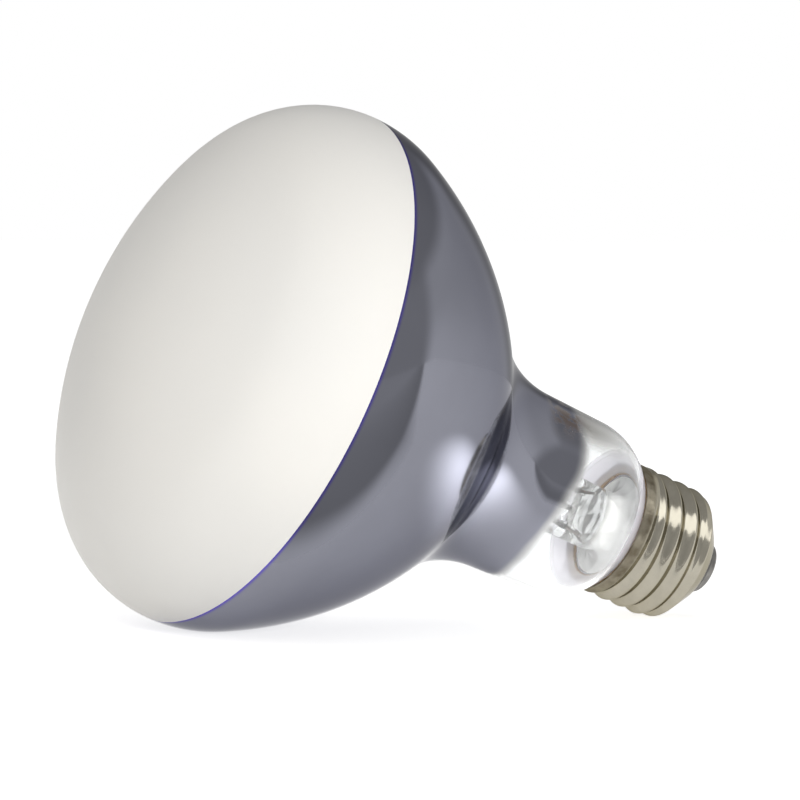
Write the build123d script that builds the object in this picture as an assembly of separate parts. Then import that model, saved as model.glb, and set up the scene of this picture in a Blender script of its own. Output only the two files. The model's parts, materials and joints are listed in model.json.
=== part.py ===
from build123d import *
import os
from math import acos, asin, atan2, cos, degrees, hypot, radians, sin, sqrt

# Reflector mercury vapour lamp with a screw cap, lying on its side as it comes to rest.
# Every piece is drawn upright on the X axis first: X runs from the front dome to the cap, and X = 0
# is the widest plane of the bulb. The whole lamp is then laid down on the bowl and the cap.

# Blown glass envelope
BULB_R = 49.9
DOME_R = 79.0
EDGE_R = 22.0
BOWL_FRONT_R = 24.0
BOWL_FRONT_TURN = radians(22.7)
BOWL_BACK_R = 72.8
NECK_FILLET_R = 24.2
NECK_R = 17.2
NECK_TAPER = radians(1.9)
NECK_END = 68.8
SHOULDER_R = 14.0
SEAL_INSET = 2.1
GLASS_WALL = 1.0

# Stem: flare, tube and flat press
STEM_TUBE_R = 6.0
STEM_TUBE_LENGTH = 3.5
STEM_END_WALL = 1.0
PRESS_TAPER = 3.0
PRESS_LENGTH = 4.5
PRESS_WIDTH = 12.0
PRESS_THICK = 4.2
PRESS_CORNER_R = 1.2
PRESS_GRIP = 4.0
EXHAUST_R = 2.2
EXHAUST_WALL = 0.6

# Wires: radius, place in the press and bend
LEAD_R = 0.35
LEAD_SPREAD = 3.6
LEAD_BEND = 1.2
LEAD_GAP = 0.8
ROD_R = 0.6
ROD_BEND = 2.5
ROD_STRAIGHT = 2.0
ROD_RAMP = 5.0
FRAME_HEIGHT = 9.5
NEUTRAL_DEPTH = 13.5
BRACE_OFFSET = 7.0

# Quartz arc tube, its seals and electrodes
ARC_LENGTH = 34.0
ARC_R = 6.0
ARC_WALL = 1.0
ARC_END_R = 4.0
PINCH_LENGTH = 9.0
PINCH_WIDTH = 10.0
PINCH_THICK = 3.2
PINCH_ROOT = 3.0
FOIL_MARGIN = 1.5
FOIL_THICK = 0.1
MAIN_FOIL_WIDTH = 2.5
STARTING_FOIL_WIDTH = 1.6
STARTING_OFFSET = 3.2
ELECTRODE_R = 0.35
ELECTRODE_REACH = 6.0
ELECTRODE_COIL_R = 1.1
ELECTRODE_COIL_LENGTH = 3.5
STARTING_ELECTRODE_R = 0.25
STARTING_REACH = 3.0
ARC_LEAD_R = 0.4
ARC_LEAD_LENGTH = 5.0
STARTING_LEAD_LENGTH = 2.0

# Straps that carry the arc tube
STRAP_LENGTH = 3.0
STRAP_THICK = 0.4
STRAP_CLEARANCE = 0.05
STRAP_TAB_WIDTH = 2.0

# Starting resistor
RESISTOR_R = 1.4
RESISTOR_LENGTH = 6.0
RESISTOR_WIRE_R = 0.3
RESISTOR_WIRE_LENGTH = 1.5

# Ballast filament and its support
COIL_RISE = 4.5
COIL_R = 1.3
COIL_WIRE_R = 0.25
COIL_PITCH = 2.4
COIL_END_GAP = 0.15
HOOK_WIRE_R = 0.25
HOOK_CLEARANCE = 0.15
HOOK_BEND = 1.6
BEAD_R = 2.6
BEAD_LENGTH = 4.0

# Screw cap, drawn from sheet, with the depth and the pitch of an E27 thread
SKIRT_R = 13.0
SKIRT_LENGTH = 1.95
SHEET = 0.35
THREAD_STEP = 0.4
THREAD_HALF_DEPTH = 0.5
THREAD_PITCH = 3.629
THREAD_TURNS = 3
CREST_TURN = 27.0
SKIRT_CLEARANCE = 0.15
RUNOUT = 1.45
CONE_R = 12.5
CONE_END_R = 8.5
CONE_LENGTH = 3.5
INSULATOR_DEPTH = 3.0
INSULATOR_NOSE = 2.1
INSULATOR_NOSE_R = 5.4
CONTACT_R = 5.0
CONTACT_THICK = 1.45
CONTACT_EDGE_R = 0.5
CONTACT_SOLDER_R = 1.8
CONTACT_SOLDER_HEIGHT = 0.5
CEMENT_SETBACK = 0.4
EXHAUST_TIP_GAP = 1.2
LEAD_CROSSING = 3.2
LEAD_STRAIGHT = 0.6
NOTCH_ANGLE = 135.0
NOTCH_WIDTH = 1.4
NOTCH_DEPTH = 1.4
SOLDER_SETBACK = 0.35
SIDE_SOLDER_R = 1.1


def at(axial, radial):
    """Point of the half section, on the XZ plane."""
    return Vector(axial, 0, radial)


def heading(angle):
    """Unit vector at an angle from the radial direction towards the cap."""
    return at(sin(angle), cos(angle))


def bend(centre, radius, start, end):
    """Arc of the half section between two headings from its centre."""
    middle = (start + end) / 2
    return ThreePointArc(*[centre + heading(a) * radius for a in (start, middle, end)])


def turned(edges):
    """Solid of revolution from the closed half section that the edges bound."""
    return revolve(make_face(edges), Axis.X)


def turned_polygon(*points):
    return turned(Polyline(*[at(*p) for p in points], close=True).edges())


def rod(start, end, radius):
    """Cylinder along X from one station to the other, on the axis."""
    return Plane((start, 0, 0), z_dir=(1, 0, 0)) * Cylinder(
        radius, end - start, align=(Align.CENTER, Align.CENTER, Align.MIN)
    )


def wire(points, radius, bend_radius):
    """Round wire along straight runs joined by tangent arcs."""
    path = FilletPolyline(*points, radius=bend_radius)
    section = Plane(path @ 0, z_dir=path % 0) * Circle(radius)
    return sweep(section, path)


def block(start, end, thick, width):
    """Box along X, centred on the axis: thick along Y and wide along Z."""
    return Pos((start + end) / 2, 0, 0) * Box(end - start, thick, width)


# Centres and turning angles of the envelope's half section
DOME_CENTRE = at(sqrt((DOME_R - EDGE_R) ** 2 - (BULB_R - EDGE_R) ** 2), 0)
EDGE_CENTRE = at(0, BULB_R - EDGE_R)
EDGE_TURN = atan2(DOME_CENTRE.X, EDGE_CENTRE.Z)
BOWL_FRONT_CENTRE = at(0, BULB_R - BOWL_FRONT_R)
BOWL_BACK_CENTRE = BOWL_FRONT_CENTRE + heading(BOWL_FRONT_TURN) * (BOWL_FRONT_R - BOWL_BACK_R)
NECK_NORMAL = heading(NECK_TAPER)
NECK_RUN = heading(NECK_TAPER + radians(90))
NECK_CORNER = at(NECK_END, NECK_R)
FILLET_LINE = NECK_CORNER + NECK_NORMAL * NECK_FILLET_R - BOWL_BACK_CENTRE
FILLET_REACH = sqrt((BOWL_BACK_R + NECK_FILLET_R) ** 2 - FILLET_LINE.dot(NECK_NORMAL) ** 2)
FILLET_CENTRE = BOWL_BACK_CENTRE + NECK_NORMAL * FILLET_LINE.dot(NECK_NORMAL) + NECK_RUN * FILLET_REACH
FILLET_TURN = atan2(FILLET_CENTRE.X - BOWL_BACK_CENTRE.X, FILLET_CENTRE.Z - BOWL_BACK_CENTRE.Z)
SHOULDER_CENTRE = NECK_CORNER - NECK_NORMAL * SHOULDER_R

# The shoulder runs in under the cap's skirt, as far as the seal with the stem
SKIRT_BORE_R = SKIRT_R - SHEET
SEAL_R = SKIRT_BORE_R - SEAL_INSET
SEAL_TURN = acos((SEAL_R - SHOULDER_CENTRE.Z) / SHOULDER_R)

# The flare carries on from the seal and turns back into the bulb as the stem tube
FLARE_START = SHOULDER_CENTRE + heading(SEAL_TURN) * (SHOULDER_R - GLASS_WALL / 2)
FLARE_R = (FLARE_START.Z - STEM_TUBE_R + GLASS_WALL / 2) / (1 + cos(SEAL_TURN))
FLARE_CENTRE = FLARE_START - heading(SEAL_TURN) * FLARE_R
FLARE_BACK = FLARE_CENTRE.X + FLARE_R + GLASS_WALL / 2
TUBE_BORE_R = STEM_TUBE_R - GLASS_WALL
TUBE_END = FLARE_CENTRE.X - STEM_TUBE_LENGTH
TUBE_FLOOR = TUBE_END + STEM_END_WALL
PRESS_BACK = TUBE_END - PRESS_TAPER
PRESS_FRONT = PRESS_BACK - PRESS_LENGTH
WELD = PRESS_FRONT + PRESS_GRIP

# Stations of the mount along the axis
ROD_BEND_START = PRESS_FRONT - ROD_STRAIGHT
ROD_BEND_END = ROD_BEND_START - ROD_RAMP
RESISTOR_LEG = ROD_BEND_END - ROD_BEND
RESISTOR_REAR = RESISTOR_LEG - RESISTOR_WIRE_LENGTH
RESISTOR_FRONT = RESISTOR_REAR - RESISTOR_LENGTH
STARTING_JOINT = RESISTOR_FRONT - RESISTOR_WIRE_LENGTH
REAR_PINCH_END = STARTING_JOINT - STARTING_LEAD_LENGTH
ARC_REAR = REAR_PINCH_END - PINCH_LENGTH
ARC_FRONT = ARC_REAR - ARC_LENGTH
FRONT_PINCH_END = ARC_FRONT - PINCH_LENGTH
FRONT_LEAD_END = FRONT_PINCH_END - ARC_LEAD_LENGTH
REAR_LEAD_CORNER = REAR_PINCH_END + ARC_LEAD_LENGTH
COIL_FRONT_LEG = FRONT_PINCH_END + PINCH_LENGTH / 2
HOOK_STATION = (COIL_FRONT_LEG + REAR_LEAD_CORNER) / 2

# The coil hangs a little above the neutral rod
COIL_DEPTH = NEUTRAL_DEPTH - COIL_RISE

# The cap's thread is rolled about a mean radius just inside the skirt's
THREAD_MEAN_R = SKIRT_R - THREAD_STEP
THREAD_VALLEY_R = THREAD_MEAN_R - THREAD_HALF_DEPTH - SHEET

# Stations of the cap along the axis
RIM_TURN = acos((SKIRT_BORE_R - SKIRT_CLEARANCE - SHOULDER_CENTRE.Z) / SHOULDER_R)
CAP_RIM = SHOULDER_CENTRE.X + SHOULDER_R * sin(RIM_TURN)
SKIRT_END = CAP_RIM + SKIRT_LENGTH
THREAD_START = SKIRT_END + RUNOUT
THREAD_END = THREAD_START + THREAD_TURNS * THREAD_PITCH
CONE_START = THREAD_END + RUNOUT
CONE_END = CONE_START + CONE_LENGTH
CONE_SLOPE = (CONE_R - CONE_END_R) / CONE_LENGTH
INSULATOR_BACK = CONE_END - INSULATOR_DEPTH
CONTACT_SEAT = CONE_END + INSULATOR_NOSE
CONTACT_TOP = CONTACT_SEAT + CONTACT_THICK
CROSSING_END = INSULATOR_BACK - LEAD_STRAIGHT
CROSSING_START = CROSSING_END - LEAD_CROSSING
EXHAUST_TIP = CROSSING_START - EXHAUST_TIP_GAP
SOLDER_STATION = CAP_RIM + SOLDER_SETBACK
NOTCH_HEADING = Vector(0, sin(radians(NOTCH_ANGLE)), cos(radians(NOTCH_ANGLE)))


def wall_curve(inset):
    """Half section of the blown wall from the apex to the seal, inset from the outer face."""
    fillet_radius = -(NECK_FILLET_R + inset)
    dome = bend(DOME_CENTRE, DOME_R - inset, -radians(90), -EDGE_TURN)
    edge = bend(EDGE_CENTRE, EDGE_R - inset, -EDGE_TURN, 0)
    bowl_front = bend(BOWL_FRONT_CENTRE, BOWL_FRONT_R - inset, 0, BOWL_FRONT_TURN)
    bowl_back = bend(BOWL_BACK_CENTRE, BOWL_BACK_R - inset, BOWL_FRONT_TURN, FILLET_TURN)
    fillet_arc = bend(FILLET_CENTRE, fillet_radius, FILLET_TURN, NECK_TAPER)
    shoulder = bend(SHOULDER_CENTRE, SHOULDER_R - inset, NECK_TAPER, SEAL_TURN)
    neck = Line(fillet_arc @ 1, shoulder @ 0)
    return [dome, edge, bowl_front, bowl_back, fillet_arc, neck, shoulder]


def glass_envelope():
    outer = wall_curve(0)
    inner = wall_curve(GLASS_WALL)
    apex = Line(outer[0] @ 0, inner[0] @ 0)
    seal = Line(outer[-1] @ 1, inner[-1] @ 1)
    return turned(outer + inner + [apex, seal])


def stem_glass():
    half_turn = radians(180)
    outer = bend(FLARE_CENTRE, FLARE_R - GLASS_WALL / 2, SEAL_TURN, half_turn)
    inner = bend(FLARE_CENTRE, FLARE_R + GLASS_WALL / 2, SEAL_TURN, half_turn)
    tube = Polyline(outer @ 1, at(TUBE_END, STEM_TUBE_R), at(TUBE_END, 0), at(TUBE_FLOOR, 0),
                    at(TUBE_FLOOR, TUBE_BORE_R), inner @ 1)
    seal = Line(outer @ 0, inner @ 0)
    flare_and_tube = turned([outer, inner, seal] + tube.edges())
    round_end = Plane((TUBE_END, 0, 0), z_dir=(-1, 0, 0)) * Circle(STEM_TUBE_R)
    flat_end = Plane((PRESS_BACK, 0, 0), x_dir=(0, 0, 1), z_dir=(-1, 0, 0)) * RectangleRounded(
        PRESS_WIDTH, PRESS_THICK, PRESS_CORNER_R
    )
    press = loft([round_end, flat_end]) + extrude(flat_end, PRESS_LENGTH)
    glass = flare_and_tube + press
    for lead in (-LEAD_SPREAD, LEAD_SPREAD):
        glass -= Pos(0, 0, lead) * rod(WELD, TUBE_FLOOR, LEAD_R)
        glass -= Pos(0, 0, lead) * rod(PRESS_FRONT, WELD, ROD_R)
    return glass - rod(PRESS_FRONT, WELD, ROD_R)


def exhaust_tube():
    bore_r = EXHAUST_R - EXHAUST_WALL
    bore_end = EXHAUST_TIP - EXHAUST_R
    tip = at(bore_end, 0)
    outer = bend(tip, EXHAUST_R, 0, radians(90))
    inner = bend(tip, bore_r, 0, radians(90))
    side = Polyline(outer @ 0, at(TUBE_FLOOR, EXHAUST_R), at(TUBE_FLOOR, bore_r), inner @ 0)
    return turned([outer, inner, Line(outer @ 1, inner @ 1)] + side.edges())


def live_outer_lead():
    solder_core = CONTACT_TOP + CONTACT_SOLDER_HEIGHT / 2
    points = [
        at(WELD, LEAD_SPREAD), at(CROSSING_START, LEAD_SPREAD), at(CROSSING_END, 0), at(solder_core, 0)
    ]
    return wire(points, LEAD_R, LEAD_BEND)


def neutral_outer_lead():
    behind_flare = FLARE_BACK + LEAD_R + LEAD_GAP
    down = at(behind_flare, -LEAD_SPREAD)
    out = Vector(behind_flare, 0, 0) + NOTCH_HEADING * (THREAD_VALLEY_R - LEAD_R - LEAD_GAP)
    joint = Vector(SOLDER_STATION, 0, 0) + NOTCH_HEADING * SKIRT_R
    return wire([at(WELD, -LEAD_SPREAD), down, out, joint], LEAD_R, LEAD_BEND)


def live_frame_rod():
    front = FRONT_LEAD_END + ARC_LEAD_R + ROD_R
    points = [
        at(WELD, LEAD_SPREAD), at(ROD_BEND_START, LEAD_SPREAD), at(ROD_BEND_END, FRAME_HEIGHT),
        at(front, FRAME_HEIGHT), at(front, ARC_LEAD_R),
    ]
    return wire(points, ROD_R, ROD_BEND)


def neutral_rod():
    points = [
        at(WELD, -LEAD_SPREAD), at(ROD_BEND_START, -LEAD_SPREAD), at(ROD_BEND_END, -NEUTRAL_DEPTH),
        at(COIL_FRONT_LEG, -NEUTRAL_DEPTH), at(COIL_FRONT_LEG, -COIL_DEPTH + COIL_R),
    ]
    return wire(points, ROD_R, ROD_BEND)


def brace_rod():
    strap_front = ARC_REAR + (PINCH_LENGTH - STRAP_LENGTH) / 2
    points = [
        (WELD, 0, 0), (ROD_BEND_START, 0, 0), (ROD_BEND_END, -BRACE_OFFSET, 0), (strap_front, -BRACE_OFFSET, 0)
    ]
    return wire(points, ROD_R, ROD_BEND)


def foil(pinch_end, root, width, offset):
    """Thin foil in a pinch, set back from the pinch's end and from its root."""
    outward = 1 if pinch_end > root else -1
    ends = sorted([root, pinch_end - outward * FOIL_MARGIN])
    return Pos(0, 0, offset) * block(*ends, FOIL_THICK, width)


def main_electrode(root, inward):
    """Tungsten rod from the foil into the arc tube, with a wound coil at its tip."""
    tip = root + inward * (ARC_WALL + ELECTRODE_REACH)
    coil_start = tip - inward * ELECTRODE_COIL_LENGTH
    return rod(*sorted([root, tip]), ELECTRODE_R) + rod(*sorted([coil_start, tip]), ELECTRODE_COIL_R)


def starting_electrode():
    tip = ARC_REAR - ARC_WALL - STARTING_REACH
    return Pos(0, 0, STARTING_OFFSET) * rod(tip, ARC_REAR, STARTING_ELECTRODE_R)


def front_arc_lead():
    return rod(FRONT_LEAD_END, FRONT_PINCH_END + FOIL_MARGIN, ARC_LEAD_R)


def rear_arc_lead():
    points = [
        at(REAR_PINCH_END - FOIL_MARGIN, 0), at(REAR_LEAD_CORNER, 0), at(REAR_LEAD_CORNER, -COIL_DEPTH - COIL_R)
    ]
    return wire(points, ARC_LEAD_R, ROD_BEND)


def starting_lead():
    start = REAR_PINCH_END - FOIL_MARGIN
    return Pos(0, 0, STARTING_OFFSET) * rod(start, STARTING_JOINT, RESISTOR_WIRE_R)


def arc_tube(inserts):
    """Quartz tube with flat pinches, sealed tightly round the foils, leads and electrodes."""
    body = rod(ARC_FRONT, ARC_REAR, ARC_R)
    cavity = rod(ARC_FRONT + ARC_WALL, ARC_REAR - ARC_WALL, ARC_R - ARC_WALL)
    quartz = fillet(body.edges().filter_by(GeomType.CIRCLE), ARC_END_R)
    quartz += block(FRONT_PINCH_END, ARC_FRONT + PINCH_ROOT, PINCH_THICK, PINCH_WIDTH)
    quartz += block(ARC_REAR - PINCH_ROOT, REAR_PINCH_END, PINCH_THICK, PINCH_WIDTH)
    quartz -= fillet(cavity.edges().filter_by(GeomType.CIRCLE), ARC_END_R - ARC_WALL)
    for insert in inserts:
        quartz -= insert
    return quartz


def strap(middle, braced):
    """Band round a pinch with a tab to the frame rod and, if braced, one to the brace rod."""
    start = middle - STRAP_LENGTH / 2
    end = middle + STRAP_LENGTH / 2
    bore_thick = PINCH_THICK + 2 * STRAP_CLEARANCE
    bore_width = PINCH_WIDTH + 2 * STRAP_CLEARANCE
    band = block(start, end, bore_thick + 2 * STRAP_THICK, bore_width + 2 * STRAP_THICK)
    band -= block(start, end, bore_thick, bore_width)
    top = bore_width / 2
    rod_face = FRAME_HEIGHT - ROD_R
    band += Pos(middle, 0, (top + rod_face) / 2) * Box(STRAP_LENGTH, STRAP_TAB_WIDTH, rod_face - top)
    if braced:
        side = bore_thick / 2
        brace_face = BRACE_OFFSET - ROD_R
        tab = Box(STRAP_LENGTH, brace_face - side, STRAP_TAB_WIDTH)
        band += Pos(middle, -(side + brace_face) / 2, 0) * tab
    return band


def starting_resistor():
    rise = FRAME_HEIGHT - ROD_R - STARTING_OFFSET
    tail_path = [at(RESISTOR_REAR, 0), at(RESISTOR_LEG, 0), at(RESISTOR_LEG, rise)]
    tail = wire(tail_path, RESISTOR_WIRE_R, LEAD_BEND)
    body = rod(RESISTOR_FRONT, RESISTOR_REAR, RESISTOR_R)
    nose = rod(STARTING_JOINT, RESISTOR_FRONT, RESISTOR_WIRE_R)
    return Pos(0, 0, STARTING_OFFSET) * (nose + body + tail)


def ballast_filament():
    start = COIL_FRONT_LEG + ROD_R + COIL_WIRE_R + COIL_END_GAP
    end = REAR_LEAD_CORNER - ARC_LEAD_R - COIL_WIRE_R - COIL_END_GAP
    path = Helix(COIL_PITCH, end - start, COIL_R, center=at(start, -COIL_DEPTH), direction=(1, 0, 0))
    section = Plane(path @ 0, z_dir=path % 0) * Circle(COIL_WIRE_R)
    return sweep(section, path, is_frenet=True)


def filament_hook():
    """Wire that stands in the bead beside the rod and bends over the coil."""
    side = COIL_R + COIL_WIRE_R + HOOK_CLEARANCE + HOOK_WIRE_R
    points = [
        (HOOK_STATION, -side, -NEUTRAL_DEPTH), (HOOK_STATION, -side, side - COIL_DEPTH),
        (HOOK_STATION, side, side - COIL_DEPTH), (HOOK_STATION, side, -COIL_DEPTH),
    ]
    return wire(points, HOOK_WIRE_R, HOOK_BEND)


def filament_bead(hook):
    start = HOOK_STATION - BEAD_LENGTH / 2
    end = HOOK_STATION + BEAD_LENGTH / 2
    bead = Pos(0, 0, -NEUTRAL_DEPTH) * (rod(start, end, BEAD_R) - rod(start, end, ROD_R))
    return bead - hook


def thread_tube():
    """Rolled thread: a ring of sheet carried round a small helix without turning."""
    path = Helix(THREAD_PITCH, THREAD_END - THREAD_START, THREAD_HALF_DEPTH, direction=(1, 0, 0))
    path = Pos(THREAD_START, 0, 0) * Rot(first_crest_turn(path), 0, 0) * path
    section = Plane(path @ 0, z_dir=(1, 0, 0)) * (Circle(THREAD_MEAN_R) - Circle(THREAD_MEAN_R - SHEET))
    return sweep(section, path, normal=(1, 0, 0))


def first_crest_turn(path):
    """Turn about X, in degrees, that puts the helix's start on top."""
    start = path @ 0
    return degrees(atan2(start.Y, start.Z))


def runout_tube(plain_station, plain_r, thread_station):
    """Sheet that leads from a plain round end into the thread, whose ring sits off the axis."""
    parts = []
    for inset in (0, SHEET):
        plain = Plane((plain_station, 0, 0), z_dir=(1, 0, 0)) * Circle(plain_r - inset)
        crest = Plane(at(thread_station, THREAD_HALF_DEPTH), z_dir=(1, 0, 0)) * Circle(THREAD_MEAN_R - inset)
        parts.append(loft([plain, crest], ruled=True))
    return parts[0] - parts[1]


def lead_slot(length):
    """Slot from the cap's rim backwards, where the neutral lead comes out past the skirt."""
    slot = Box(length, NOTCH_WIDTH, SKIRT_R, align=(Align.MIN, Align.CENTER, Align.MIN))
    return Pos(CAP_RIM, 0, 0) * Rot(-NOTCH_ANGLE, 0, 0) * slot


def screw_shell():
    skirt = turned_polygon((CAP_RIM, SKIRT_BORE_R), (CAP_RIM, SKIRT_R), (SKIRT_END, SKIRT_R),
                           (SKIRT_END, SKIRT_BORE_R))
    cone = turned_polygon((CONE_START, CONE_R - SHEET), (CONE_START, CONE_R), (CONE_END, CONE_END_R),
                          (CONE_END, CONE_END_R - SHEET))
    shell = skirt + runout_tube(SKIRT_END, SKIRT_R, THREAD_START) + thread_tube()
    shell += runout_tube(CONE_START, CONE_R, THREAD_END) + cone
    return Rot(-CREST_TURN, 0, 0) * shell - lead_slot(NOTCH_DEPTH)


def cap_insulator():
    back_r = CONE_R - SHEET - (INSULATOR_BACK - CONE_START) * CONE_SLOPE
    return turned_polygon((INSULATOR_BACK, LEAD_R), (INSULATOR_BACK, back_r), (CONE_END, CONE_END_R - SHEET),
                          (CONTACT_SEAT, INSULATOR_NOSE_R), (CONTACT_SEAT, LEAD_R))


def centre_contact():
    disc = rod(CONTACT_SEAT, CONTACT_TOP, CONTACT_R)
    rim = disc.edges().filter_by(GeomType.CIRCLE).sort_by(Axis.X)[-1]
    return fillet(rim, CONTACT_EDGE_R) - rod(CONTACT_SEAT, CONTACT_TOP, LEAD_R)


def contact_solder(lead):
    dome_r = (CONTACT_SOLDER_R ** 2 + CONTACT_SOLDER_HEIGHT ** 2) / (2 * CONTACT_SOLDER_HEIGHT)
    centre = at(CONTACT_TOP + CONTACT_SOLDER_HEIGHT - dome_r, 0)
    arc = bend(centre, dome_r, acos(CONTACT_SOLDER_R / dome_r), radians(90))
    return turned([arc] + Polyline(arc @ 1, at(CONTACT_TOP, 0), arc @ 0).edges()) - lead


def basing_cement():
    """Ring between the skirt and the glass shoulder, open where the neutral lead passes."""
    start = CAP_RIM + CEMENT_SETBACK
    ring = rod(start, SKIRT_END, SKIRT_BORE_R) - rod(start, SKIRT_END, SEAL_R)
    face = bend(SHOULDER_CENTRE, SHOULDER_R, NECK_TAPER, SEAL_TURN)
    core = Polyline(face @ 1, at((face @ 1).X, 0), at((face @ 0).X, 0), face @ 0)
    return ring - turned([face] + core.edges()) - lead_slot(SKIRT_LENGTH)


def side_solder(shell, lead):
    """Blob of solder that fills the notch in the rim and stands proud of the skirt."""
    joint = Vector(SOLDER_STATION, 0, 0) + NOTCH_HEADING * SKIRT_R
    back = SOLDER_STATION + SIDE_SOLDER_R
    outside = rod(CAP_RIM, back, SKIRT_R + SIDE_SOLDER_R) - rod(CAP_RIM, back, SKIRT_BORE_R)
    return Pos(joint) * Sphere(SIDE_SOLDER_R) & outside - shell - lead


def lamp():
    """Every piece of the lamp, by name, upright on the X axis."""
    pieces = {
        "glass_envelope": glass_envelope(),
        "stem_glass": stem_glass(),
        "exhaust_tube": exhaust_tube(),
        "live_outer_lead": live_outer_lead(),
        "neutral_outer_lead": neutral_outer_lead(),
        "live_frame_rod": live_frame_rod(),
        "neutral_rod": neutral_rod(),
        "brace_rod": brace_rod(),
        "front_electrode": main_electrode(ARC_FRONT, 1),
        "rear_electrode": main_electrode(ARC_REAR, -1),
        "starting_electrode": starting_electrode(),
        "front_foil": foil(FRONT_PINCH_END, ARC_FRONT, MAIN_FOIL_WIDTH, 0),
        "rear_foil": foil(REAR_PINCH_END, ARC_REAR, MAIN_FOIL_WIDTH, 0),
        "starting_foil": foil(REAR_PINCH_END, ARC_REAR, STARTING_FOIL_WIDTH, STARTING_OFFSET),
        "front_arc_lead": front_arc_lead(),
        "rear_arc_lead": rear_arc_lead(),
        "starting_lead": starting_lead(),
    }
    sealed_in_quartz = [
        "front_electrode", "rear_electrode", "starting_electrode", "front_foil", "rear_foil",
        "starting_foil", "front_arc_lead", "rear_arc_lead", "starting_lead",
    ]
    pieces["arc_tube"] = arc_tube([pieces[name] for name in sealed_in_quartz])
    pieces["front_strap"] = strap(ARC_FRONT - PINCH_LENGTH / 2, False)
    pieces["rear_strap"] = strap(ARC_REAR + PINCH_LENGTH / 2, True)
    pieces["starting_resistor"] = starting_resistor()
    pieces["ballast_filament"] = ballast_filament()
    pieces["filament_hook"] = filament_hook()
    pieces["filament_bead"] = filament_bead(pieces["filament_hook"])
    pieces["screw_shell"] = screw_shell()
    pieces["cap_insulator"] = cap_insulator()
    pieces["centre_contact"] = centre_contact()
    pieces["contact_solder"] = contact_solder(pieces["live_outer_lead"])
    pieces["basing_cement"] = basing_cement()
    pieces["side_solder"] = side_solder(pieces["screw_shell"], pieces["neutral_outer_lead"])
    return pieces


def lay_down(pieces):
    """Tip the lamp until its bowl and its cap both touch the ground, and centre it over the origin."""
    reach = hypot(CONE_START, BULB_R - BOWL_FRONT_R - CONE_R)
    dip = asin(BOWL_FRONT_R / reach) + atan2(BULB_R - BOWL_FRONT_R - CONE_R, CONE_START)
    tipped = {name: Rot(0, degrees(dip), 0) * piece for name, piece in pieces.items()}
    ends = [tipped[name] for name in ("glass_envelope", "screw_shell", "centre_contact", "contact_solder")]
    box = Compound(ends).bounding_box()
    home = Pos(-box.center().X, -box.center().Y, -box.min.Z)
    return {name: home * piece for name, piece in tipped.items()}


os.makedirs("parts", exist_ok=True)
for name, piece in lay_down(lamp()).items():
    export_step(piece, f"parts/{name}.step")
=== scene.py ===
"""Looks of a reflector mercury vapour bulb that lies on its side: glass, screw cap, light and camera."""
import json
from math import acos, asin, atan2, cos, pi, radians, sin, sqrt, tau

import bmesh
import bpy
from mathutils import Matrix, Vector


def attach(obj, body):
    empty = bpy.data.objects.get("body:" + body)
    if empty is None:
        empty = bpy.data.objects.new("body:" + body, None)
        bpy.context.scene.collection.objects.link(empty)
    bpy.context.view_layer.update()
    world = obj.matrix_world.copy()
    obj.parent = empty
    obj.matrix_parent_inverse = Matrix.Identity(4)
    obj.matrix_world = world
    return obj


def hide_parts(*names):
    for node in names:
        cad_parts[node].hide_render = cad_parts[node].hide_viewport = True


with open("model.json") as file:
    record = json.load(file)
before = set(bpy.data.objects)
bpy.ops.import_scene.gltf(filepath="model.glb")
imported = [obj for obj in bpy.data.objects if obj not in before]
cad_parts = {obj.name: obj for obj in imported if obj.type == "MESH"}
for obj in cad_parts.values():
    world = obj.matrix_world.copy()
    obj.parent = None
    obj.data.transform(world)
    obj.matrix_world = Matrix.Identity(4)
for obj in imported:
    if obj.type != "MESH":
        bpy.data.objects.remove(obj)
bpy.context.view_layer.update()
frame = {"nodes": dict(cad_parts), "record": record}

# Blown glass envelope, in metres
BULB_R = 0.0499
DOME_R = 0.079
EDGE_R = 0.022
BOWL_FRONT_R = 0.024
BOWL_FRONT_TURN = radians(22.7)
BOWL_BACK_R = 0.0728
NECK_FILLET_R = 0.0242
NECK_R = 0.0172
NECK_TAPER = radians(1.9)
NECK_END = 0.0688
SHOULDER_R = 0.014
SEAL_INSET = 0.0021
GLASS_WALL = 0.001

# Screw cap
SKIRT_R = 0.013
SKIRT_LENGTH = 0.00195
SKIRT_CLEARANCE = 0.00015
SHEET = 0.00035
RIM_ROUND = 0.00012
THREAD_STEP = 0.0004
THREAD_HALF_DEPTH = 0.0005
THREAD_PITCH = 0.003629
THREAD_TURNS = 3
CREST_TURN = radians(27.0)
RUNOUT = 0.00145
CONE_R = 0.0125
CONE_END_R = 0.0085
CONE_LENGTH = 0.0035
NOTCH_ANGLE = radians(135.0)
NOTCH_WIDTH = 0.0014
NOTCH_DEPTH = 0.0014

# Where the coats on the glass begin and end, as stations from the widest plane towards the cap
FROST_END = -0.0006
VIOLET_LINE = 0.0009
MIRROR_END = 0.0595
MIRROR_FADE = 0.0036
MIRROR_WANDER = 0.0018
SCORCH_START = MIRROR_END - 0.0075, MIRROR_END - 0.004
SCORCH_STOP = MIRROR_END, MIRROR_END + 0.006
HAZE_END = 0.0765
# Painted highlight: from here to the cap rim, the glass turns whitish and less clear, standing in for the
# bright reflection of the curved shoulder
PAINTED_HIGHLIGHT_START = 0.0760
PAINTED_HIGHLIGHT_FADE = 0.0003
# Painted light: from here the stem's flare turns white and less clear, standing in for the bright background
# seen through its clear glass
PAINTED_LIGHT_FLARE_START = 0.0735
PAINTED_LIGHT_FLARE_FADE = 0.0030

# Side of the neck that the flame reached: its angle from the top, and heights over the axis where it sets in
FLAME_ANGLE = radians(-12.0)
FLAME_HEIGHT = NECK_R * 0.66, NECK_R * 0.92

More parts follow.
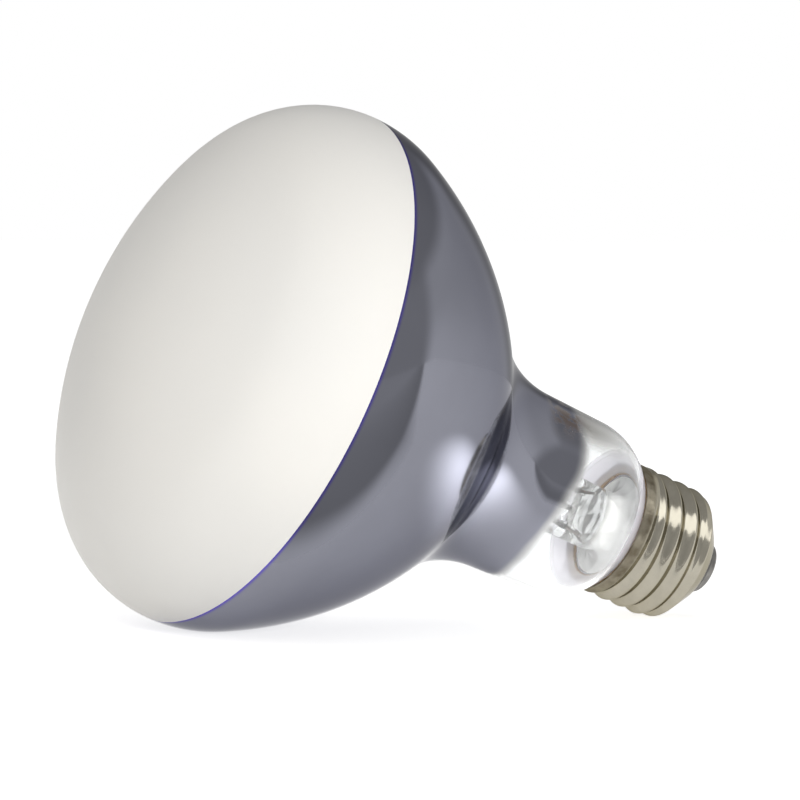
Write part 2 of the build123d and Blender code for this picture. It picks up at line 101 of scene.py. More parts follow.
# Fineness of the meshes: steps round the axis, then along each stretch of the half sections
ENVELOPE_STEPS = 224
DOME_STEPS = 28
EDGE_STEPS = 14
CREST_STEPS = 2
BOWL_FRONT_STEPS = 10
BOWL_BACK_STEPS = 24
FILLET_STEPS = 22
NECK_STEPS = 8
SHOULDER_STEPS = 14
CAP_STEPS = 240
SKIRT_ROWS = 6
RUNOUT_ROWS = 10
ROWS_PER_TURN = 36
CONE_ROWS = 8

# Camera: its angles, and its place from the centre of the bulb's widest plane
CAMERA_AZIMUTH = radians(-27.12)
CAMERA_ELEVATION = radians(2.61)
CAMERA_ROLL = radians(0.62)
CAMERA_DISTANCE = 0.963945
AIM_RIGHT = 0.025746
AIM_UP = -0.005769
LENS_MM = 238.5
SENSOR_MM = 36.0


def heading(angle):
    """Unit vector of the half section, at an angle from the radial direction towards the cap."""
    return Vector((sin(angle), cos(angle)))


def arc(centre, radius, start, end, steps):
    """Points along an arc of the half section, between two headings from its centre."""
    return [centre + heading(start + (end - start) * i / steps) * radius for i in range(steps + 1)]


# Centres and turning angles of the envelope's half section, as (station, radius)
DOME_CENTRE = Vector((sqrt((DOME_R - EDGE_R) ** 2 - (BULB_R - EDGE_R) ** 2), 0))
EDGE_CENTRE = Vector((0, BULB_R - EDGE_R))
EDGE_TURN = atan2(DOME_CENTRE.x, EDGE_CENTRE.y)
BOWL_FRONT_CENTRE = Vector((0, BULB_R - BOWL_FRONT_R))
BOWL_BACK_CENTRE = BOWL_FRONT_CENTRE + heading(BOWL_FRONT_TURN) * (BOWL_FRONT_R - BOWL_BACK_R)
NECK_NORMAL = heading(NECK_TAPER)
NECK_RUN = heading(NECK_TAPER + pi / 2)
NECK_CORNER = Vector((NECK_END, NECK_R))
FILLET_LINE = NECK_CORNER + NECK_NORMAL * NECK_FILLET_R - BOWL_BACK_CENTRE
FILLET_RISE = FILLET_LINE.dot(NECK_NORMAL)
FILLET_REACH = sqrt((BOWL_BACK_R + NECK_FILLET_R) ** 2 - FILLET_RISE ** 2)
FILLET_CENTRE = BOWL_BACK_CENTRE + NECK_NORMAL * FILLET_RISE + NECK_RUN * FILLET_REACH
FILLET_TURN = atan2(FILLET_CENTRE.x - BOWL_BACK_CENTRE.x, FILLET_CENTRE.y - BOWL_BACK_CENTRE.y)
SHOULDER_CENTRE = NECK_CORNER - NECK_NORMAL * SHOULDER_R
SKIRT_BORE_R = SKIRT_R - SHEET
SEAL_TURN = acos((SKIRT_BORE_R - SEAL_INSET - SHOULDER_CENTRE.y) / SHOULDER_R)

# Stations of the cap
THREAD_MEAN_R = SKIRT_R - THREAD_STEP
RIM_TURN = acos((SKIRT_BORE_R - SKIRT_CLEARANCE - SHOULDER_CENTRE.y) / SHOULDER_R)
CAP_RIM = SHOULDER_CENTRE.x + SHOULDER_R * sin(RIM_TURN)
SKIRT_END = CAP_RIM + SKIRT_LENGTH
THREAD_START = SKIRT_END + RUNOUT
THREAD_END = THREAD_START + THREAD_TURNS * THREAD_PITCH
CONE_START = THREAD_END + RUNOUT
CONE_END = CONE_START + CONE_LENGTH

# The lamp's own axis, from the mount at the middle of its thread
CAP_MOUNT = next(mount for mount in frame["record"]["mounts"] if mount["name"] == "screw_cap")
AXIS = Vector(CAP_MOUNT["axis"]).normalized()
SIDE = Vector((0, 1, 0))
UP = AXIS.cross(SIDE)
HOME = Vector(CAP_MOUNT["pos_m"]) - AXIS * (THREAD_START + THREAD_END) / 2


def outward(angle):
    """Unit vector square to the lamp's axis; the angle turns about the axis from the top."""
    return UP * cos(angle) + SIDE * sin(angle)


def lamp_point(station, radius, angle):
    """Point of the lamp, in the shared frame."""
    return HOME + AXIS * station + outward(angle) * radius


def back_vector(azimuth, elevation):
    """From the object towards a viewer; azimuth 0 looks along +Y."""
    level = cos(elevation)
    return Vector((sin(azimuth) * level, -cos(azimuth) * level, sin(elevation)))


def new_object(name, data):
    obj = bpy.data.objects.new(name, data)
    bpy.context.scene.collection.objects.link(obj)
    return obj


def object_from(name, work):
    """Object from a bmesh, which ends with this."""
    mesh = bpy.data.meshes.new(name)
    work.to_mesh(mesh)
    work.free()
    return new_object(name, mesh)


def finish_mesh(name, work):
    """Object from a bmesh, with outward normals and smooth shading."""
    bmesh.ops.recalc_face_normals(work, faces=work.faces)
    for face in work.faces:
        face.smooth = True
    return object_from(name, work)


def join_rings(work, rings, zones):
    """Faces between neighbouring rings; a ring of one vertex is a pole. One zone a gap."""
    for first, second, zone in zip(rings, rings[1:], zones):
        count = max(len(first), len(second))
        for i in range(count):
            j = (i + 1) % count
            corners = [first[i % len(first)], second[i % len(second)], second[j % len(second)],
                       first[j % len(first)]]
            face = work.faces.new(list(dict.fromkeys(corners)))
            face.material_index = zone


def turned_object(name, section, steps, zone_of):
    """Solid of revolution about the lamp's axis, from a half section with both ends on the axis."""
    work = bmesh.new()
    rings = []
    for station, radius in section:
        angles = [tau * i / steps for i in range(steps)] if radius > 0 else [0]
        rings.append([work.verts.new(lamp_point(station, radius, angle)) for angle in angles])
    zones = [zone_of((a[0] + b[0]) / 2) for a, b in zip(section, section[1:])]
    join_rings(work, rings, zones)
    return finish_mesh(name, work)


def chain(first, *others):
    """Stretches of points end to end, with each shared point once."""
    points = list(first)
    for other in others:
        points += other[1:]
    return points


def wall_section(inset):
    """Half section of the blown wall from the apex to the seal, inset from the outer face."""
    frost_turn = asin(FROST_END / (EDGE_R - inset))
    dome = arc(DOME_CENTRE, DOME_R - inset, -pi / 2, -EDGE_TURN, DOME_STEPS)
    dome[0] = Vector((DOME_CENTRE.x - DOME_R + inset, 0))
    edge = arc(EDGE_CENTRE, EDGE_R - inset, -EDGE_TURN, frost_turn, EDGE_STEPS)
    crest = arc(EDGE_CENTRE, EDGE_R - inset, frost_turn, 0, CREST_STEPS)
    bowl_front = arc(BOWL_FRONT_CENTRE, BOWL_FRONT_R - inset, 0, BOWL_FRONT_TURN, BOWL_FRONT_STEPS)
    bowl_back = arc(BOWL_BACK_CENTRE, BOWL_BACK_R - inset, BOWL_FRONT_TURN, FILLET_TURN, BOWL_BACK_STEPS)
    fillet = arc(FILLET_CENTRE, -(NECK_FILLET_R + inset), FILLET_TURN, NECK_TAPER, FILLET_STEPS)
    shoulder = arc(SHOULDER_CENTRE, SHOULDER_R - inset, NECK_TAPER, SEAL_TURN, SHOULDER_STEPS)
    neck = [fillet[-1].lerp(shoulder[0], i / NECK_STEPS) for i in range(NECK_STEPS + 1)]
    return chain(dome, edge, crest, bowl_front, bowl_back, fillet, neck, shoulder)


def coat_zone(station):
    """Material index of the glass at a station: the frosted front, then mirror and clear neck."""
    return 0 if station < FROST_END else 1


def bulb_glass():
    """Outer and inner face of the envelope in one closed surface."""
    section = wall_section(0) + wall_section(GLASS_WALL)[::-1]
    obj = turned_object("bulb_glass", section, ENVELOPE_STEPS, coat_zone)
    obj.data.materials.append(frosted_coat())
    obj.data.materials.append(mirror_and_clear_glass())
    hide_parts("glass_envelope")
    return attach(obj, "root")


def smooth_step(share):
    return share * share * (3 - 2 * share)


def shell_ring(station):
    """The cap's ring at a station: its radius, how far its centre is off the axis, and that centre's angle."""
    if station <= SKIRT_END:
        return SKIRT_R, 0, 0
    if station < THREAD_START:
        share = smooth_step((station - SKIRT_END) / RUNOUT)
        return SKIRT_R + (THREAD_MEAN_R - SKIRT_R) * share, THREAD_HALF_DEPTH * share, CREST_TURN
    if station <= THREAD_END:
        turn = CREST_TURN - tau * (station - THREAD_START) / THREAD_PITCH
        return THREAD_MEAN_R, THREAD_HALF_DEPTH, turn
    if station < CONE_START:
        share = smooth_step((CONE_START - station) / RUNOUT)
        return CONE_R + (THREAD_MEAN_R - CONE_R) * share, THREAD_HALF_DEPTH * share, CREST_TURN
    share = (station - CONE_START) / CONE_LENGTH
    return CONE_R + (CONE_END_R - CONE_R) * share, 0, 0


def spread(start, end, steps):
    """Evenly spaced values from start to end."""
    return [start + (end - start) * i / steps for i in range(steps + 1)]


def shell_rows():
    """Rows of the cap's sheet as (station, inset): rim, outer face, and back along the inner face."""
    stations = chain(
        spread(CAP_RIM + RIM_ROUND, SKIRT_END, SKIRT_ROWS),
        spread(SKIRT_END, THREAD_START, RUNOUT_ROWS),
        spread(THREAD_START, THREAD_END, THREAD_TURNS * ROWS_PER_TURN),
        spread(THREAD_END, CONE_START, RUNOUT_ROWS),
        spread(CONE_START, CONE_END, CONE_ROWS),
    )
    rim = [(CAP_RIM, SHEET - RIM_ROUND), (CAP_RIM, RIM_ROUND)]
    outer = [(station, 0) for station in stations]
    inner = [(station, SHEET) for station in reversed(stations)]
    return rim + outer + inner


def cap_shell():
    """Screw shell: a sheet ring whose centre circles the axis once a pitch, which is the rolled thread."""
    work = bmesh.new()
    notch_half = NOTCH_WIDTH / 2 / SKIRT_R
    rings = []
    for station, inset in shell_rows():
        radius, offset, turn = shell_ring(station)
        centre = outward(turn) * offset
        ring = []
        for i in range(CAP_STEPS):
            angle = tau * i / CAP_STEPS
            in_notch = abs(angle - NOTCH_ANGLE) < notch_half
            place = max(station, CAP_RIM + NOTCH_DEPTH) if in_notch else station
            ring.append(work.verts.new(lamp_point(place, radius - inset, angle) + centre))
        rings.append(ring)
    rings.append(rings[0])
    join_rings(work, rings, [0] * len(rings))
    obj = finish_mesh("cap_shell", work)
    obj.data.materials.append(nickel_plate())
    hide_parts("screw_shell")
    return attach(obj, "root")


# Values between which most of Blender's noise lies
NOISE_VALLEY = 0.3
NOISE_PEAK = 0.7


class Nodes:
    """Short ways to add and link the nodes of one material."""

    def __init__(self, name):
        self.material = bpy.data.materials.new(name)
        self.material.use_nodes = True
        self.tree = self.material.node_tree
        self.shader = self.tree.nodes["Principled BSDF"]

    def set(self, **values):
        for key, value in values.items():
            self.shader.inputs[key.replace("_", " ")].default_value = value

    def feed(self, socket, name):
        self.tree.links.new(socket, self.shader.inputs[name])

    def show(self, node):
        """Make a shader the one that the material shows."""
        self.tree.links.new(node.outputs[0], self.tree.nodes["Material Output"].inputs["Surface"])

    def add(self, kind, inputs=(), **settings):
        node = self.tree.nodes.new(kind)
        for key, value in settings.items():
            setattr(node, key, value)
        for index, value in enumerate(inputs):
            if isinstance(value, bpy.types.NodeSocket):
                self.tree.links.new(value, node.inputs[index])
            elif value is not None:
                node.inputs[index].default_value = value
        return node

    def place(self):
        """Position in the shared frame."""
        return self.add("ShaderNodeTexCoord").outputs["Object"]

    def away_from(self, point):
        """Position counted from a point."""
        return self.add("ShaderNodeVectorMath", [self.place(), point], operation="SUBTRACT").outputs[0]

    def along(self, point, way):
        """Distance from a point, counted along a direction."""
        node = self.add("ShaderNodeVectorMath", [self.away_from(point), way], operation="DOT_PRODUCT")
        return node.outputs["Value"]

    def station(self):
        """Distance along the lamp's axis from the widest plane, in metres."""
        return self.along(HOME, AXIS)

    def math(self, operation, *values):
        return self.add("ShaderNodeMath", values, operation=operation).outputs[0]

    def times(self, first, second):
        return self.math("MULTIPLY", first, second)

    def without(self, share):
        """What a share leaves of one."""
        return self.math("SUBTRACT", 1.0, share)

    def ramp(self, value, low, high, out_low=0.0, out_high=1.0, kind="LINEAR"):
        inputs = [value, low, high, out_low, out_high]
        return self.add("ShaderNodeMapRange", inputs, interpolation_type=kind).outputs[0]

    def ease(self, value, low, high, out_low=0.0, out_high=1.0):
        """Ramp without corners."""
        return self.ramp(value, low, high, out_low, out_high, "SMOOTHSTEP")

    def fall(self, value, low, high):
        """From 1 to 0, without corners."""
        return self.ease(value, low, high, 1.0, 0.0)

    def noise(self, scale, detail=3.0, roughness=0.5):
        node = self.add("ShaderNodeTexNoise")
        self.tree.links.new(self.place(), node.inputs["Vector"])
        node.inputs["Scale"].default_value = scale
        node.inputs["Detail"].default_value = detail
        node.inputs["Roughness"].default_value = roughness
        return node.outputs[0]

    def mottle(self, low, high, scale, detail=3.0, roughness=0.5):
        """Noise from low in its valleys to high on its peaks."""
        return self.ramp(self.noise(scale, detail, roughness), NOISE_VALLEY, NOISE_PEAK, low, high)

    def colour(self, share, first, second):
        node = self.add("ShaderNodeMix", data_type="RGBA")
        for key, value in (("Factor", share), ("A", first), ("B", second)):
            sockets = [s for s in node.inputs if s.name == key and s.enabled]
            if isinstance(value, bpy.types.NodeSocket):
                self.tree.links.new(value, sockets[0])
            else:
                sockets[0].default_value = value
        return next(s for s in node.outputs if s.enabled)

    def bump(self, height, strength, distance):
        node = self.add("ShaderNodeBump")
        node.inputs["Strength"].default_value = strength
        node.inputs["Distance"].default_value = distance
        self.tree.links.new(height, node.inputs["Height"])
        self.feed(node.outputs[0], "Normal")


def rgb(red, green, blue):
    return (red, green, blue, 1.0)


# Colours, as pairs from the darker to the lighter spots, and roughness, from the brighter to the duller spots
WHITE = rgb(1.0, 1.0, 1.0)
BLACK = rgb(0.0, 0.0, 0.0)
FROST = rgb(0.80, 0.795, 0.778), rgb(0.825, 0.815, 0.79)
FROST_CLOUDS = 0.35, 0.65
FROST_ROUGHNESS = 0.42, 0.52
SILVER = rgb(0.222, 0.226, 0.263), rgb(0.245, 0.250, 0.291)
SILVER_GLANCE = rgb(0.5, 0.5, 0.52)
SILVER_ROUGHNESS = 0.07, 0.10
VIOLET = rgb(0.10, 0.075, 0.42)
HAZE = rgb(0.21, 0.205, 0.18)
HAZE_WEIGHT = 0.95
SCORCH = rgb(0.075, 0.052, 0.042)
SCORCH_STREAKS = 0.44, 0.56
BARE_GLASS = rgb(0.97, 0.98, 0.985)
# Painted highlight: whitish colour and lower clearness of the ring next to the cap rim, standing in for the
# shoulder's bright reflection
PAINTED_HIGHLIGHT_WHITE = rgb(0.93, 0.92, 0.98)
PAINTED_HIGHLIGHT_CLEARNESS = 0.52
GLASS_IOR = 1.5
PRESSED_GLASS = rgb(0.985, 0.99, 0.99)
PRESSED_ROUGHNESS = 0.0, 0.06
PRESSED_CLEARNESS = 0.92
FACETS_PER_METRE = 270.0
NICKEL = rgb(0.40, 0.375, 0.31), rgb(0.46, 0.432, 0.358)
NICKEL_GLANCE = rgb(0.55, 0.53, 0.47)
NICKEL_ROUGHNESS = 0.12, 0.19
SKIRT_METAL = rgb(0.13, 0.11, 0.075), rgb(0.36, 0.33, 0.26)
SKIRT_FADE = SKIRT_END - 0.0002, SKIRT_END + 0.0006
SKIRT_DULLNESS = 0.24
THREAD_GRAIN = 0.08


def let_lamps_through(n, clear):
    """Clear glass stops no lamp: shadow rays pass wherever the surface is clear."""
    path = n.add("ShaderNodeLightPath")
    share = n.times(path.outputs["Is Shadow Ray"], clear)
    passing = n.add("ShaderNodeBsdfTransparent")
    n.show(n.add("ShaderNodeMixShader", [share, n.shader.outputs[0], passing.outputs[0]]))


def frosted_coat():
    """Satin white front: a fine frost in the glass, a little warmer in soft clouds."""
    n = Nodes("frosted_coat")
    clouds = n.ramp(n.noise(scale=22.0, detail=2.0), *FROST_CLOUDS)
    n.feed(n.colour(clouds, *FROST), "Base Color")
    n.feed(n.mottle(*FROST_ROUGHNESS, scale=160.0, detail=4.0), "Roughness")
    n.bump(n.noise(scale=9000.0, detail=2.0), strength=0.05, distance=0.0001)
    return n.material


def mirror_and_clear_glass():
    """Mirror coat behind the glass, from a violet line at the front to an uneven edge in the clear neck."""
    n = Nodes("mirror_and_clear_glass")
    station = n.station()
    wander = n.mottle(-MIRROR_WANDER, MIRROR_WANDER, scale=42.0, detail=2.0)
    coat = n.fall(n.math("ADD", station, wander), MIRROR_END - MIRROR_FADE / 2, MIRROR_END + MIRROR_FADE / 2)
    upper = upper_side(n)
    haze = n.times(upper, n.ramp(station, MIRROR_END, HAZE_END, HAZE_WEIGHT, 0.0))
    scorch = n.times(upper, scorched_streaks(n, station))
    covered = n.math("MAXIMUM", n.math("MAXIMUM", coat, haze), scorch)
    # Painted highlight: a ring next to the cap rim is made whitish and less clear, standing in for the
    # shoulder's bright reflection
    seal = n.times(n.ease(station, PAINTED_HIGHLIGHT_START, PAINTED_HIGHLIGHT_START + PAINTED_HIGHLIGHT_FADE),
                   n.fall(station, CAP_RIM, CAP_RIM + PAINTED_HIGHLIGHT_FADE))
    clear = n.times(n.without(covered), n.ramp(seal, 0.0, 1.0, 1.0, PAINTED_HIGHLIGHT_CLEARNESS))

    silver = n.colour(n.mottle(0.0, 1.0, scale=45.0), *SILVER)
    lined = n.colour(n.fall(station, FROST_END, FROST_END + VIOLET_LINE), silver, VIOLET)
    coated = n.colour(scorch, n.colour(coat, HAZE, lined), SCORCH)
    # The painted highlight ring takes its whitish colour here
    bare = n.colour(seal, BARE_GLASS, PAINTED_HIGHLIGHT_WHITE)
    n.feed(n.colour(covered, bare, coated), "Base Color")
    n.feed(n.colour(coat, WHITE, SILVER_GLANCE), "Specular Tint")
    n.feed(n.times(coat, n.without(scorch)), "Metallic")
    n.feed(n.times(covered, n.mottle(*SILVER_ROUGHNESS, scale=120.0, detail=4.0)), "Roughness")
    n.feed(clear, "Transmission Weight")
    n.set(IOR=GLASS_IOR)
    let_lamps_through(n, clear)
    return n.material


def upper_side(n):
    """Share of the upper side of the neck, which the flame reached."""
    return n.ease(n.along(HOME, outward(FLAME_ANGLE)), *FLAME_HEIGHT)


def scorched_streaks(n, station):
    """Brown streaks that the flame left at the coat's end."""
    streaks = n.ease(n.noise(scale=330.0, detail=5.0, roughness=0.65), *SCORCH_STREAKS)
    return n.times(streaks, n.times(n.ease(station, *SCORCH_START), n.fall(station, *SCORCH_STOP)))


def nickel_plate():
    """Bright nickel over drawn brass: warm, with duller spots, and a rougher, yellower ring at the rim."""
    n = Nodes("nickel_plate")
    clouds = n.mottle(0.0, 1.0, scale=260.0, detail=5.0, roughness=0.6)
    skirt = n.fall(n.station(), *SKIRT_FADE)
    n.feed(n.colour(skirt, n.colour(clouds, *NICKEL), n.colour(clouds, *SKIRT_METAL)), "Base Color")
    dull = n.mottle(*NICKEL_ROUGHNESS, scale=420.0, detail=5.0)
    n.feed(n.math("ADD", dull, n.times(skirt, SKIRT_DULLNESS)), "Roughness")
    n.set(Metallic=1.0, Specular_Tint=NICKEL_GLANCE)
    grain = n.times(n.noise(scale=1000.0, detail=4.0), n.ramp(skirt, 0.0, 1.0, THREAD_GRAIN, 1.0))
    n.bump(grain, strength=0.7, distance=0.00022)
    return n.material


def clear_glass(name, tint, painted_light_whiteness):
    """Pressed glass of the mount, with the facets of a hot pinch; the flare near the seal is painted white,
    which stands in for the bright light seen through clear glass.
    """
    n = Nodes(name)
    n.feed(n.colour(n.noise(scale=300.0), tint, PRESSED_GLASS), "Base Color")
    n.feed(n.mottle(*PRESSED_ROUGHNESS, scale=500.0), "Roughness")
    # Painted light: the flare loses clearness here so that its white colour stands in for the light seen
    # through it
    clear = n.ease(n.station(), PAINTED_LIGHT_FLARE_START, PAINTED_LIGHT_FLARE_START + PAINTED_LIGHT_FLARE_FADE, PRESSED_CLEARNESS, 1.0 - painted_light_whiteness)
    n.feed(clear, "Transmission Weight")
    n.set(IOR=GLASS_IOR)
    facets = n.add("ShaderNodeTexVoronoi")
    n.tree.links.new(n.place(), facets.inputs["Vector"])
    facets.inputs["Scale"].default_value = FACETS_PER_METRE
    n.bump(facets.outputs["Distance"], strength=0.9, distance=0.001)
    let_lamps_through(n, clear)
    return n.material


def metal(name, dark, light, rough, grain=900.0):
    """Bare metal whose tone and gloss change over the piece."""
    n = Nodes(name)
    n.feed(n.colour(n.noise(grain, detail=4.0), dark, light), "Base Color")
    n.feed(n.mottle(*rough, scale=grain * 1.7, detail=4.0), "Roughness")
    n.set(Metallic=1.0)
    n.bump(n.noise(grain * 2.5), strength=0.1, distance=0.00005)
    return n.material


def grainy(name, dark, light, rough, grain, relief):
    """Fired or set mineral stuff with a visible grain."""
    n = Nodes(name)
    n.feed(n.colour(n.mottle(0.0, 1.0, grain, detail=6.0, roughness=0.65), dark, light), "Base Color")
    n.feed(n.mottle(*rough, scale=grain * 2.0, detail=4.0), "Roughness")
    n.bump(n.noise(grain * 1.5, detail=5.0), strength=0.5, distance=relief)
    return n.material


def dress_cad_nodes():
    """Finish of every solid that is shown as it is, by its slot in the record."""
    finishes = {
        # Painted light: the stem glass's flare is made nearly white and the quartz only a little, standing in
        # for light seen through them
        "clear_glass": clear_glass("stem_and_bead_glass", rgb(0.95, 0.965, 0.965), painted_light_whiteness=0.75),
        "quartz": clear_glass("quartz", rgb(0.96, 0.97, 0.975), painted_light_whiteness=0.1),
        "copper": metal("copper_wire", rgb(0.10, 0.075, 0.065), rgb(0.24, 0.18, 0.15), (0.25, 0.45)),
        "nickel_wire": metal("nickel_wire", rgb(0.09, 0.09, 0.09), rgb(0.22, 0.22, 0.215), (0.2, 0.4)),
        "tungsten": metal("tungsten", rgb(0.12, 0.12, 0.13), rgb(0.25, 0.25, 0.27), (0.3, 0.5)),
        "foil": metal("foil", rgb(0.40, 0.40, 0.42), rgb(0.55, 0.55, 0.57), (0.2, 0.35)),
        "strap_steel": metal("strap_steel", rgb(0.42, 0.42, 0.42), rgb(0.56, 0.56, 0.55), (0.25, 0.4)),
        "resistor": grainy("resistor_body", rgb(0.55, 0.51, 0.40), rgb(0.70, 0.67, 0.56), (0.6, 0.8),
                           grain=900.0, relief=0.0001),
        "dark_glass": grainy("dark_glass", rgb(0.012, 0.012, 0.014), rgb(0.03, 0.03, 0.034), (0.12, 0.3),
                             grain=500.0, relief=0.00005),
        "contact_metal": metal("contact_metal", rgb(0.16, 0.155, 0.15), rgb(0.34, 0.33, 0.31), (0.25, 0.5)),
        "solder": metal("solder", rgb(0.36, 0.36, 0.37), rgb(0.60, 0.60, 0.61), (0.25, 0.5), grain=700.0),
        "cement": grainy("basing_cement", rgb(0.20, 0.11, 0.04), rgb(0.46, 0.30, 0.13), (0.7, 0.9),
                         grain=700.0, relief=0.0002),
    }
    for part in frame["record"]["subparts"]:
        finish = finishes.get(part["material_slot"])
        if finish:
            mesh = frame["nodes"][part["node"]].data
            mesh.materials.clear()
            mesh.materials.append(finish)


# Studio: light levels, and sizes and places in metres
WORLD_LIGHT = 0.50
FLOOR_SIZE = 8.0
FLOOR_WHITE = rgb(0.9, 0.9, 0.9)
FLOOR_GLOW = 0.64
SHEET_LIFT = 0.0004

# Grey room that the mirror shows: edges are where one level goes over into the next, as azimuths or elevations
SURROUND_R = 0.9
SURROUND_TURNS = [radians(-180 + 7.5 * i) for i in range(49)]
SURROUND_RISES = [radians(-3 + 3.0 * i) for i in range(32)]
LEFT_LEVEL = 0.44
FRONT_EDGE = radians(-60), radians(-12)
FRONT_LEVEL = 0.52
RIGHT_EDGE = radians(57), radians(71)
RIGHT_GAIN = 0.30
HORIZON_EDGE = radians(-3), radians(14)
HORIZON_BOOST = 1.8
BACK_CHANGES = [(radians(121), radians(133), -0.46), (radians(162), radians(179), 0.08)]
CEILING_EDGE = radians(23), radians(33)
CEILING_LEVEL = 0.44

# Table beyond the edge of the paper that the bulb lies on
PAPER_LEVEL = 1.05
PAPER_EDGE = [Vector(corner) for corner in ((-0.25, -0.02), (-0.045, -0.036), (0.05, -0.067), (0.78, -0.424))]
TABLE_DEPTH = 1.0
TABLE_LEVEL = 0.42
TABLE_EDGE_WIDTH = 0.016
TABLE_FAR = 0.12
TABLE_FAR_GAIN = 0.18

# Glare on the paper, which only the mirror shows
GLARE_CENTRE = Vector((0.067, -0.012, SHEET_LIFT))
GLARE_TURN = radians(9)
GLARE_LENGTH = 0.114
GLARE_WIDTH = 0.084
GLARE_LEVEL = 3.0

# Softbox that only the cap shows, between two directions given like the camera's
SOFTBOX_ENDS = [(radians(-60), radians(48)), (radians(58), radians(22))]
SOFTBOX_R = 0.6
SOFTBOX_WIDTH = 0.22
SOFTBOX_POWER = 1.0

# Lamps that the mirror doesn't show: azimuth, elevation, size, power and tint
LAMP_DISTANCE = 1.2
KEY = radians(-6), radians(5), 0.4, 10.5, (1.0, 0.98, 0.94)
FILL = radians(-120), radians(6), 0.6, 3.8, (1.0, 0.95, 0.86)


def studio_world():
    """Soft light from all round, white where it is seen, mirrored or looked at through glass."""
    world = bpy.data.worlds.new("studio")
    bpy.context.scene.world = world
    world.use_nodes = True
    tree = world.node_tree
    background = tree.nodes["Background"]
    background.inputs["Color"].default_value = WHITE
    tree.links.new(seen_rays(tree, WORLD_LIGHT, 1.0), background.inputs["Strength"])


def seen_rays(tree, unseen, seen):
    """A value that is seen for camera, glossy and transmission rays, and unseen for the rest."""
    path = tree.nodes.new("ShaderNodeLightPath")
    total = path.outputs["Is Camera Ray"]
    for name in ("Is Glossy Ray", "Is Transmission Ray"):
        either = tree.nodes.new("ShaderNodeMath")
        either.operation = "MAXIMUM"
        tree.links.new(total, either.inputs[0])
        tree.links.new(path.outputs[name], either.inputs[1])
        total = either.outputs[0]
    level = tree.nodes.new("ShaderNodeMapRange")
    level.inputs["To Min"].default_value = unseen
    level.inputs["To Max"].default_value = seen
    tree.links.new(total, level.inputs["Value"])
    return level.outputs[0]


def stage_sheet(name, grid, material):
    """Stage piece from rows of points."""
    work = bmesh.new()
    rows = [[work.verts.new(point) for point in row] for row in grid]
    for first, second in zip(rows, rows[1:]):
        for i in range(len(first) - 1):
            work.faces.new([first[i], first[i + 1], second[i + 1], second[i]])
    obj = object_from(name, work)
    obj.data.materials.append(material)
    return obj


def floor():
    """White floor that takes the object's shadow."""
    n = Nodes("white_floor")
    n.set(Base_Color=FLOOR_WHITE, Roughness=0.9, Emission_Color=WHITE, Specular_IOR_Level=0.0)
    n.feed(seen_rays(n.tree, 0.0, FLOOR_GLOW), "Emission Strength")
    sides = (-FLOOR_SIZE / 2, FLOOR_SIZE / 2)
    stage_sheet("floor", [[(x, y, 0) for x in sides] for y in sides], n.material)


def mirrored_only(name, grid):
    """White card that shows only in reflections, with its nodes, which set how bright it is."""
    n = Nodes(name)
    n.set(Base_Color=BLACK, Roughness=1.0, Emission_Color=WHITE, Specular_IOR_Level=0.0)
    card = stage_sheet(name, grid, n.material)
    for ray in ("camera", "diffuse", "transmission", "volume_scatter", "shadow"):
        setattr(card, "visible_" + ray, False)
    return n, card


def surround():
    """Dome of the grey room that the mirror and the cap show, brightest to the right."""
    grid = [[HOME + back_vector(turn, rise) * SURROUND_R for turn in SURROUND_TURNS]
            for rise in SURROUND_RISES]
    n, _ = mirrored_only("surround", grid)
    x, y, z = n.add("ShaderNodeSeparateXYZ", [n.away_from(HOME)]).outputs
    azimuth = n.math("ARCTAN2", x, n.times(y, -1.0))
    horizon_z = [SURROUND_R * sin(angle) for angle in HORIZON_EDGE]
    ceiling_z = [SURROUND_R * sin(angle) for angle in CEILING_EDGE]
    right = n.ease(azimuth, *RIGHT_EDGE, 0.0, RIGHT_GAIN)
    horizon = n.ease(z, *horizon_z, HORIZON_BOOST, 1.0)
    side = n.ease(azimuth, *FRONT_EDGE, LEFT_LEVEL, FRONT_LEVEL)
    side = n.math("ADD", side, n.times(right, horizon))
    for start, end, change in BACK_CHANGES:
        side = n.math("ADD", side, n.ease(azimuth, start, end, 0.0, change))
    ceiling = n.ease(z, *ceiling_z)
    level = n.math("ADD", n.times(side, n.without(ceiling)), n.times(ceiling, CEILING_LEVEL))
    n.feed(level, "Emission Strength")


def beyond(n, start, end):
    """Distance past a straight edge on the floor, counted to its right."""
    run = (end - start).normalized()
    return n.along(start.to_3d(), Vector((run.y, -run.x, 0)))


def dim_table():
    """Table beyond the edge of the paper, darkest along that edge."""
    near = [(x, y, SHEET_LIFT) for x, y in PAPER_EDGE]
    far = [(x, -TABLE_DEPTH, SHEET_LIFT) for x, y in PAPER_EDGE]
    n, _ = mirrored_only("dim_table", [near, far])
    past = n.math("MINIMUM", beyond(n, *PAPER_EDGE[1:3]), beyond(n, *PAPER_EDGE[2:4]))
    edge = n.ease(past, 0.0, TABLE_EDGE_WIDTH, PAPER_LEVEL, TABLE_LEVEL)
    brighter = n.ramp(past, TABLE_EDGE_WIDTH, TABLE_FAR, 0.0, TABLE_FAR_GAIN)
    n.feed(n.math("ADD", edge, brighter), "Emission Strength")


def turn_to(obj, right, up, back):
    """Turn an object so that these are its own axes."""
    obj.rotation_euler = Matrix((right, up, back)).transposed().to_euler()


def area_light(name, azimuth, elevation, size, power, tint):
    """Soft square lamp that looks at the bulb from a direction given like the camera's."""
    lamp = bpy.data.lights.new(name, "AREA")
    lamp.shape = "SQUARE"
    lamp.size = size
    lamp.energy = power
    lamp.color = tint
    obj = new_object(name, lamp)
    back = back_vector(azimuth, elevation)
    obj.location = HOME + back * LAMP_DISTANCE
    obj.rotation_euler = (-back).to_track_quat("-Z", "Y").to_euler()
    return obj


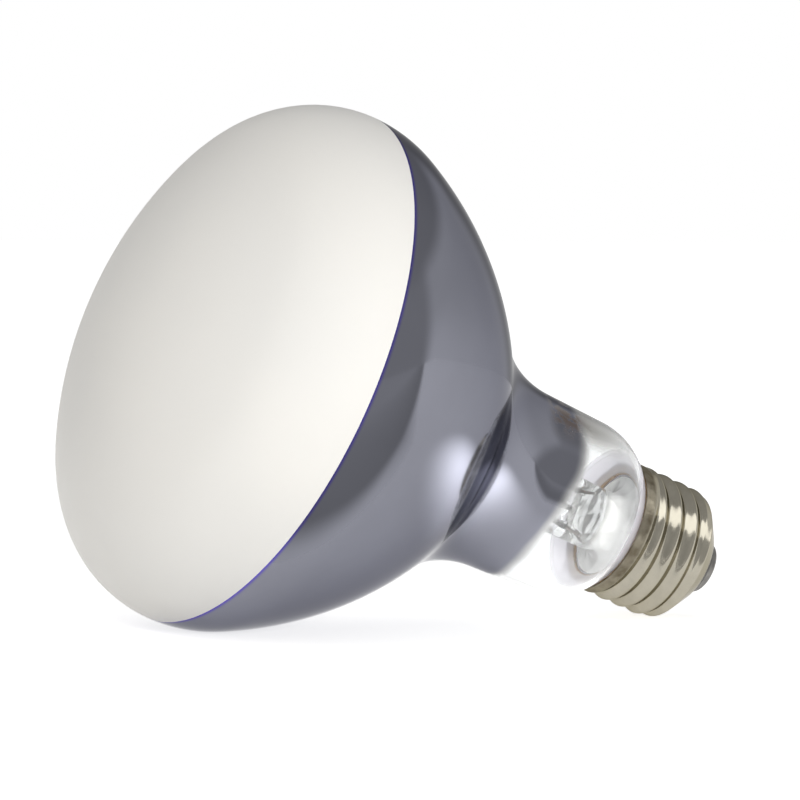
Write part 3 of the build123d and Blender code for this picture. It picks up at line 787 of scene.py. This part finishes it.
def camera():
    back = back_vector(CAMERA_AZIMUTH, CAMERA_ELEVATION)
    level = Vector((cos(CAMERA_AZIMUTH), sin(CAMERA_AZIMUTH), 0))
    upright = back.cross(level)
    right = level * cos(CAMERA_ROLL) + upright * sin(CAMERA_ROLL)
    data = bpy.data.cameras.new("camera")
    data.lens = LENS_MM
    data.sensor_width = SENSOR_MM
    obj = new_object("camera", data)
    obj.location = HOME + level * AIM_RIGHT + upright * AIM_UP + back * CAMERA_DISTANCE
    turn_to(obj, right, back.cross(right), back)
    bpy.context.scene.camera = obj


def lights_only(lamp, piece):
    """Keep a lamp to one piece."""
    lamp.light_linking.receiver_collection = bpy.data.collections.new(lamp.name + "_lights")
    lamp.light_linking.receiver_collection.objects.link(piece)
    lamp.visible_camera = False
    lamp.visible_transmission = False


def paper_glare(glass):
    """Glare on the paper beside the neck, soft all round, which only the mirror shows."""
    along = Vector((cos(GLARE_TURN), sin(GLARE_TURN), 0)) * GLARE_LENGTH / 2
    across = Vector((-sin(GLARE_TURN), cos(GLARE_TURN), 0)) * GLARE_WIDTH / 2
    grid = [[GLARE_CENTRE + along * a + across * b for a in (-1, 1)] for b in (-1, 1)]
    n, card = mirrored_only("paper_glare", grid)
    squares = []
    for half in (along, across):
        share = n.along(GLARE_CENTRE, half / half.length_squared)
        squares.append(n.times(share, share))
    out = n.math("SQRT", n.math("ADD", *squares))
    glow = n.add("ShaderNodeEmission", [None, n.ease(out, 0.0, 1.0, GLARE_LEVEL, 0.0)])
    passing = n.add("ShaderNodeBsdfTransparent")
    n.show(n.add("ShaderNodeAddShader", [glow.outputs[0], passing.outputs[0]]))
    lights_only(card, glass)


def cap_softbox(cap):
    """Long softbox over the camera, along the cap's thread, which only the cap shows."""
    start, end = (back_vector(*angles) * SOFTBOX_R for angles in SOFTBOX_ENDS)
    middle = (start + end) / 2
    run = (end - start).normalized()
    back = middle.normalized()
    lamp = bpy.data.lights.new("cap_softbox", "AREA")
    lamp.shape = "RECTANGLE"
    lamp.size = (end - start).length
    lamp.size_y = SOFTBOX_WIDTH
    lamp.energy = SOFTBOX_POWER
    obj = new_object("cap_softbox", lamp)
    obj.location = HOME + AXIS * (THREAD_START + THREAD_END) / 2 + middle
    turn_to(obj, run, back.cross(run), back)
    lights_only(obj, cap)


def lights(glass, cap):
    """Two soft lamps for the frost, which the mirror doesn't show, the cap's softbox and the glare."""
    for lamp in (area_light("key", *KEY), area_light("fill", *FILL)):
        lamp.visible_glossy = False
    cap_softbox(cap)
    paper_glare(glass)


bpy.context.scene.view_settings.view_transform = "Standard"
glass = bulb_glass()
cap = cap_shell()
dress_cad_nodes()
studio_world()
floor()
surround()
dim_table()
lights(glass, cap)
camera()
